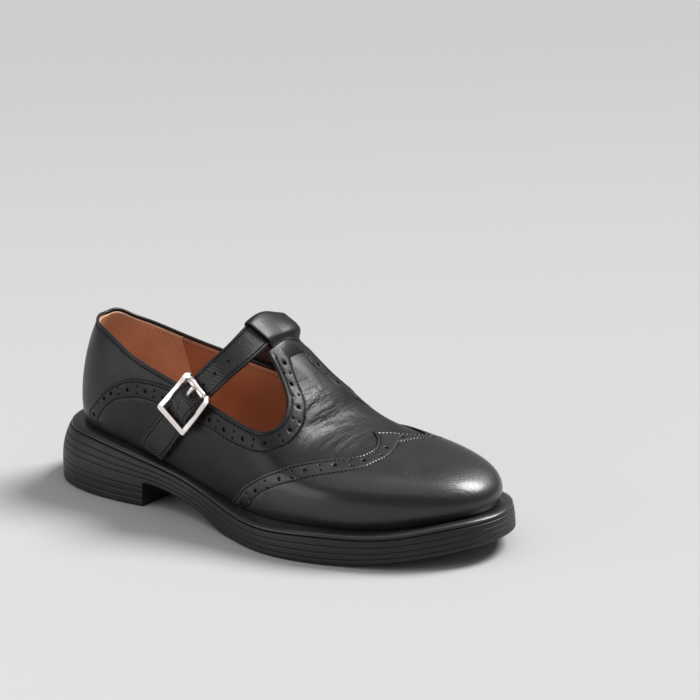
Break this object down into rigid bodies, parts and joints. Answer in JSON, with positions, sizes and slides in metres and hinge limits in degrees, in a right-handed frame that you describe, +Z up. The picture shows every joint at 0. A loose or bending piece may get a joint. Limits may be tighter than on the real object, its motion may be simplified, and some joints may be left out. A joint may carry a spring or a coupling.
{
  "type": "t-bar buckle shoe",
  "caption": "Right low shoe with a T-bar, a buckled instep strap through a keeper, a brogue wing toe cap and a ribbed rubber sole with a low block heel.",
  "frame": {"origin": "under the middle of the sole, on the ground", "axes": "+X towards the toe, +Y to the inner (medial) side of this right shoe, +Z up"},
  "size_m": [0.2759, 0.1166, 0.1091],
  "materials": {
    "sole_rubber": "satin",
    "rand_rubber": "smooth satin",
    "tan_leather": "matt",
    "black_leather": "fine grain, soft gloss",
    "glossy_leather": "glossy",
    "bright_nickel": "polished"
  },
  "bodies": {
    "root": {"outsole": "sole_rubber", "welt": "rand_rubber", "insole": "tan_leather", "upper": "black_leather", "toe_cap": "black_leather", "strap": "black_leather", "buckle_tab": "black_leather", "t_bar_loop": "glossy_leather", "buckle_frame": "bright_nickel", "buckle_roller": "bright_nickel", "buckle_prong": "bright_nickel"}
  },
  "joints": []
}
